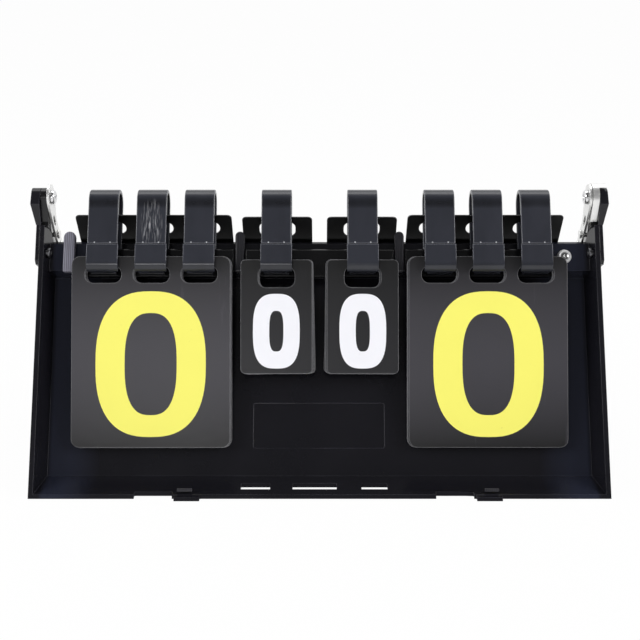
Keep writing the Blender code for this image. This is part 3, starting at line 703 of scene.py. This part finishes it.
def slab(name, low, high, tray, finish, edge):
    """A small block between two places on a tray."""
    cage = bmesh.new()
    bmesh.ops.create_cube(cage, size=1.0)
    bmesh.ops.scale(cage, verts=cage.verts, vec=[b - a for a, b in zip(low, high)])
    return on_tray(name, cage, middle_of(low, high), tray, finish, edge)


def disc(name, centre, radius, height, tray, finish, edge):
    """A low round pad that stands out of a tray."""
    cage = bmesh.new()
    bmesh.ops.create_cone(cage, cap_ends=True, segments=32, radius1=radius, radius2=radius, depth=height)
    return on_tray(name, cage, centre, tray, finish, edge)


def superellipse(width, height, power, steps=72):
    """Points round an oval whose sides are straighter than an ellipse's."""
    points = []
    for i in range(steps):
        angle = 2 * math.pi * i / steps
        across, along = math.cos(angle), math.sin(angle)
        points.append((
            width / 2 * math.copysign(abs(across) ** (2 / power), across),
            height / 2 * math.copysign(abs(along) ** (2 / power), along),
        ))
    return points


def filled_outline(name, outlines, thickness, matrix, finish):
    """A filled outline with holes, as a thin solid."""
    curve = bpy.data.curves.new(name, "CURVE")
    curve.dimensions = "2D"
    curve.fill_mode = "BOTH"
    curve.extrude = thickness / 2
    for outline in outlines:
        spline = curve.splines.new("POLY")
        spline.points.add(len(outline) - 1)
        for point, (x, y) in zip(spline.points, outline):
            point.co = (x, y, 0.0, 1.0)
        spline.use_cyclic_u = True
    shape = added(name, curve)
    data = evaluated(shape)
    bpy.data.objects.remove(shape)
    cage = bmesh.new()
    cage.from_mesh(data)
    bmesh.ops.remove_doubles(cage, verts=cage.verts, dist=INK_WELD)
    bmesh.ops.recalc_face_normals(cage, faces=cage.faces)
    cage.to_mesh(data)
    cage.free()
    data.transform(matrix)
    return link(name, data, finish)


def cross_tools(tip, axis, radius, depth):
    """The two bars that cut a cross recess into a screw head, narrower at their feet."""
    facing = axis.to_track_quat("Z", "Y").to_matrix().to_4x4()
    tools = []
    for turn in (0.0, math.pi / 2):
        cage = bmesh.new()
        bmesh.ops.create_cube(cage, size=1.0)
        bmesh.ops.scale(cage, verts=cage.verts, vec=(radius * 2, radius * CROSS_WIDTH, depth * 2))
        for vert in cage.verts:
            if vert.co.z < 0:
                vert.co.x *= CROSS_FOOT_LENGTH
                vert.co.y *= CROSS_FOOT_WIDTH
        bmesh.ops.rotate(cage, verts=cage.verts, matrix=Matrix.Rotation(turn + CROSS_TURN, 3, "Z"))
        data = mesh_from("recess", cage)
        data.transform(Matrix.Translation(tip) @ facing)
        tools.append(added("recess", data))
    return tools


def dress_screw(node, kind, axis, tip):
    """Dress a screw, with a cross recess at the tip of its head."""
    radius, depth, edge = SCREWS[kind]
    piece = link(node + "_skin", clean_copy(node), slot_of(node))
    for tool in cross_tools(tip, axis, radius, depth):
        cut(piece, tool)
    stand_for(round_edges(piece, edge, 2, 30.0), node)


def tray_details(tray, label, body):
    """Fine mouldings on one tray: a pad on each latch tab, and a round mark on each side's rim."""
    parts = []
    for left, right in LATCH_PADS:
        parts.append(slab("pad", (left, *PAD_LOW), (right, *PAD_HIGH), tray, "post_plastic", PAD_EDGE))
    for side, _ in SIDES:
        centre = (side * RIM_DOT[0], RIM_DOT[1], 0.0)
        parts.append(disc("dot", centre, RIM_DOT_RADIUS, RIM_DOT_HEIGHT, tray,
                          "charcoal_plastic", RIM_DOT_EDGE))
    whole = joined(f"{label}_mouldings", parts)
    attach(whole, body)


class SCOREBOARD_OT_trays(bpy.types.Operator):
    """Round the edges of the two trays and add their fine mouldings"""

    bl_idname = "scoreboard.trays"
    bl_label = "Trays"

    def execute(self, context):
        edge = context.scene.scoreboard_sizes.tray_edge
        for node, tray in (("front_tray", FRONT), ("rear_tray", REAR)):
            dress(node, edge)
            tray_details(tray, node, body_of(node))
        return {"FINISHED"}


class SCOREBOARD_OT_hinges(bpy.types.Operator):
    """Dress the ears, spacer legs, brackets and their fasteners"""

    bl_idname = "scoreboard.hinges"
    bl_label = "Hinges"

    def execute(self, context):
        edge = context.scene.scoreboard_sizes.steel_edge
        for side, label in SIDES:
            dress(f"ear_{label}", EAR_EDGE, 3)
            dress(f"ear_cap_{label}", edge, 2, "black_plastic" if label == "left" else None)
            dress(f"hinge_bracket_{label}", edge)
            dress(f"pivot_nut_{label}", NUT_EDGE)
            self.packing(side, label)
            for which in ("upper", "lower"):
                dress(f"bracket_rivet_{label}_{which}", RIVET_EDGE)
            self.screw("pivot_screw", side, label)
            self.screw("ear_screw", side, label)
        return {"FINISHED"}

    def packing(self, side, label):
        """A block between a spacer leg and the front tray's wall."""
        (inner, low, back), (outer, top, front) = LEG_PACKING
        left, right = sorted((side * inner, side * outer))
        packing = slab(f"leg_packing_{label}", (left, low, back), (right, top, front), FRONT,
                       "black_plastic", PACKING_EDGE)
        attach(packing, "root")

    def screw(self, kind, side, label):
        """A screw whose head faces the middle of the scoreboard."""
        node = f"{kind}_{label}"
        low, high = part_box(node)
        middle = middle_of(low, high)
        tip = Vector((high[0] if side < 0 else low[0], middle[1], middle[2]))
        dress_screw(node, kind, Vector((-side, 0.0, 0.0)), tip)


class SCOREBOARD_OT_bars(bpy.types.Operator):
    """Dress the ring bars, the posts, and the cup washer with its screw"""

    bl_idname = "scoreboard.bars"
    bl_label = "Bars and posts"

    def execute(self, context):
        for label in ("left", "middle", "right"):
            dress(f"ring_bar_{label}", BAR_EDGE)
        for label in ("left", "centre_left", "centre_right"):
            # The left post gets a paler copy of the post plastic: rubbing and a painted highlight
            dress(f"post_{label}", POST_EDGE, 4, "rubbed_highlit_plastic" if label == "left" else "post_plastic")
        dress("cup_washer", WASHER_EDGE, 2, "pale_zinc")
        out = (FRONT.to_3x3() @ Vector((0.0, 0.0, 1.0))).normalized()
        middle = Vector(middle_of(*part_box("washer_screw")))
        head = max(frame["nodes"]["washer_screw"].data.vertices, key=lambda vert: vert.co.dot(out)).co
        dress_screw("washer_screw", "washer_screw", out, middle + out * (head - middle).dot(out))
        return {"FINISHED"}


class SCOREBOARD_OT_rings(bpy.types.Operator):
    """Dress the eight card rings"""

    bl_idname = "scoreboard.rings"
    bl_label = "Rings"

    def execute(self, context):
        edge = context.scene.scoreboard_sizes.ring_edge
        for number in range(1, RING_COUNT + 1):
            for half in ("upper", "lower"):
                node = f"ring_{number}_{half}"
                dress(node, edge, 3, "scuffed_plastic" if node == "ring_2_upper" else None)
            self.seam_pips(number)
        return {"FINISHED"}

    def seam_pips(self, number):
        """Two pips that show at the seam, pale to paint its glints."""
        low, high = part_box(f"ring_{number}_upper")
        middle = (low[0] + high[0]) / 2
        pips = []
        for side, _ in SIDES:
            centre = (middle + side * PIP_ASIDE, PIP_UP, PIP_OUT)
            pips.append(disc("pip", centre, PIP_RADIUS, PIP_HEIGHT, FRONT, "pip_plastic", PIP_EDGE))
        whole = joined(f"ring_{number}_pips", pips)
        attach(whole, "root")


def card_frame(node, tray, tilt):
    """A card's own frame, and its box there: X across, Y up the sheet, Z out of its face."""
    turned = tray @ Matrix.Rotation(tilt, 4, "X")
    back = turned.inverted()
    spots = [back @ vert.co for vert in frame["nodes"][node].data.vertices]
    low = [min(spot[i] for spot in spots) for i in range(3)]
    high = [max(spot[i] for spot in spots) for i in range(3)]
    return turned, low, high


def digit(name, node, tray, tilt, kind, ink_depth):
    """A printed zero on a card's outer face."""
    width, height, hole_width, hole_height, power, drop = DIGITS[kind]
    turned, low, high = card_frame(node, tray, tilt)
    middle = ((low[0] + high[0]) / 2, high[1] - drop - height / 2, high[2] + ink_depth / 2)
    outlines = [superellipse(width, height, power),
                superellipse(hole_width, hole_height, power + HOLE_SQUARER)]
    piece = filled_outline(name, outlines, ink_depth, turned @ Matrix.Translation(middle), kind + "_ink")
    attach(piece, body_of(node))


class SCOREBOARD_OT_front_cards(bpy.types.Operator):
    """Dress the top cards and print their digits"""

    bl_idname = "scoreboard.front_cards"
    bl_label = "Front cards"

    def execute(self, context):
        sizes = context.scene.scoreboard_sizes
        for name, kind in CARDS:
            node = f"card_{name}"
            dress(node, sizes.card_edge, 2, SHEET_FINISH[kind])
            digit(f"digit_{name}", node, FRONT, CARD_TILT, kind, sizes.ink)
        return {"FINISHED"}


class SCOREBOARD_OT_stacks(bpy.types.Operator):
    """Lay out the waiting sheets behind each top card, a little fanned"""

    bl_idname = "scoreboard.stacks"
    bl_label = "Waiting sheets"

    def execute(self, context):
        sizes = context.scene.scoreboard_sizes
        counts = {"score": sizes.score_sheets, "set": sizes.set_sheets}
        chance = random.Random(FAN_SEED)
        for name, kind in CARDS:
            node = f"stack_{name}"
            count = counts[kind]
            hand = 1 if name.startswith("left") else -1
            turned, low, high = card_frame(node, FRONT, CARD_TILT)
            sheet = (high[2] - low[2]) / count * SHEET_SHARE
            pitch = (high[2] - low[2] - sheet) / (count - 1)
            centre = Vector(((low[0] + high[0]) / 2, high[1], 0.0))
            sheets = []
            for number in range(count):
                data = clean_copy(node)
                data.transform(turned.inverted())
                for vert in data.vertices:
                    front = vert.co.z > (low[2] + high[2]) / 2
                    vert.co.z = high[2] - number * pitch - (0.0 if front else sheet)
                turn = chance.uniform(*FAN_CHANCE) * ((number + 1) / count) * FAN_LEAN[kind] * hand
                slip = Vector((chance.uniform(*SLIP_ASIDE) * hand * MM, chance.uniform(*SLIP_UP) * MM, 0.0))
                data.transform(Matrix.Translation(centre + slip) @ Matrix.Rotation(turn, 4, "Z")
                               @ Matrix.Translation(-centre))
                data.transform(turned)
                sheets.append(round_edges(link("sheet", data, SHEET_FINISH[kind]), sizes.card_edge, 1))
            stand_for(joined(f"sheets_{name}", sheets), node)
        return {"FINISHED"}


class SCOREBOARD_OT_rear_cards(bpy.types.Operator):
    """Dress the cards that lie on the rear tray and print their digits"""

    bl_idname = "scoreboard.rear_cards"
    bl_label = "Rear cards"

    def execute(self, context):
        sizes = context.scene.scoreboard_sizes
        for name, kind in CARDS:
            node = f"rear_card_{name}"
            # The rear cards take the set cards' sheet, darkened as painted shade
            dress(node, sizes.card_edge, 2, "set_sheet")
            digit(f"rear_digit_{name}", node, REAR, 0.0, kind, sizes.ink)
        return {"FINISHED"}


class SCOREBOARD_OT_stage(bpy.types.Operator):
    """Set up the floor, the world, the lamps and the camera"""

    bl_idname = "scoreboard.stage"
    bl_label = "Studio"

    def execute(self, context):
        scene = context.scene
        scene.view_settings.view_transform = "Standard"
        self.floor()
        self.world(scene)
        for lamp in LAMPS:
            self.lamp(*lamp)
        self.camera(scene)
        return {"FINISHED"}

    def floor(self):
        """A plain floor that the camera sees as nearly white, and that keeps the object's shadow."""
        cage = bmesh.new()
        bmesh.ops.create_grid(cage, x_segments=1, y_segments=1, size=FLOOR_HALF)
        floor = added("floor", mesh_from("floor", cage))
        floor.location = (0.0, 0.0, -FLOOR_DROP)
        finish = Finish("studio floor")
        finish.set(Base_Color=FLOOR_GREY, Roughness=0.6, Specular_IOR_Level=0.2)
        painted = Field(finish.tree, finish.shader.outputs[0])
        glow = finish.node("ShaderNodeEmission", inputs={"Color": WHITE, "Strength": 1.0})
        camera, glossy, through = finish.rays()
        seen = (camera + through).clamped() * FLOOR_GLOW + glossy * FLOOR_GLOSS
        blend = finish.node("ShaderNodeMixShader", inputs={0: seen, 1: painted, 2: glow})
        finish.feed(finish.tree.nodes["Material Output"].inputs["Surface"], blend)
        floor.data.materials.append(finish.material)

    def world(self, scene):
        """White behind and beside the object, and a darker room in front of it for its gloss."""
        world = bpy.data.worlds.new("studio")
        world.use_nodes = True
        scene.world = world
        nodes = Nodes(world.node_tree)
        shade = nodes.tree.nodes["Background"]
        shade.inputs["Color"].default_value = WHITE
        camera, glossy, through = nodes.rays()
        facing = nodes.node("ShaderNodeTexCoord", output="Generated")
        depth = nodes.node("ShaderNodeSeparateXYZ", inputs={0: facing}, output="Y")
        behind = ((depth + ROOM_TURN) * (1.0 / (ROOM_TURN * 2))).clamped()
        mirrored = behind * (1.0 - ROOM_LEVEL) + ROOM_LEVEL
        plain_light = (1.0 - glossy) * WORLD_LEVEL
        lit = (1.0 - camera) * (1.0 - through) * (glossy * mirrored + plain_light)
        nodes.feed(shade.inputs["Strength"], (camera + through).clamped() + lit)

    def lamp(self, name, place, width, height, power):
        data = bpy.data.lights.new(name, "AREA")
        data.shape = "RECTANGLE"
        data.size = width
        data.size_y = height
        data.energy = power
        lamp = added(name, data)
        lamp.location = place
        lamp.rotation_euler = (Vector(LIT_POINT) - Vector(place)).to_track_quat("-Z", "Y").to_euler()

    def camera(self, scene):
        data = bpy.data.cameras.new("camera")
        data.lens = LENS
        data.sensor_width = SENSOR_WIDTH
        data.clip_start = CLIP_START
        camera = added("camera", data)
        camera.location = CAMERA_PLACE
        camera.rotation_euler = (CAMERA_TURN, 0.0, 0.0)
        scene.camera = camera


OPERATORS = (
    SCOREBOARD_OT_trays,
    SCOREBOARD_OT_hinges,
    SCOREBOARD_OT_bars,
    SCOREBOARD_OT_rings,
    SCOREBOARD_OT_front_cards,
    SCOREBOARD_OT_stacks,
    SCOREBOARD_OT_rear_cards,
    SCOREBOARD_OT_stage,
)


class SCOREBOARD_PT_panel(bpy.types.Panel):
    """Lists the scoreboard's pieces and settings"""

    bl_idname = "SCOREBOARD_PT_panel"
    bl_label = "Scoreboard"
    bl_space_type = "VIEW_3D"
    bl_region_type = "UI"
    bl_category = "Scoreboard"

    def draw(self, context):
        for group in (context.scene.scoreboard_sizes, context.scene.scoreboard_colours):
            for name in group.__annotations__:
                self.layout.prop(group, name)
        for operator in OPERATORS:
            self.layout.operator(operator.bl_idname)


CLASSES = (ScoreboardSizes, ScoreboardColours) + OPERATORS + (SCOREBOARD_PT_panel,)


def register():
    for cls in CLASSES:
        bpy.utils.register_class(cls)
    bpy.types.Scene.scoreboard_sizes = PointerProperty(type=ScoreboardSizes)
    bpy.types.Scene.scoreboard_colours = PointerProperty(type=ScoreboardColours)


def unregister():
    del bpy.types.Scene.scoreboard_colours
    del bpy.types.Scene.scoreboard_sizes
    for cls in reversed(CLASSES):
        bpy.utils.unregister_class(cls)


def main():
    register()
    for operator in OPERATORS:
        group, name = operator.bl_idname.split(".")
        getattr(getattr(bpy.ops, group), name)()


if __name__ == "__main__":
    main()
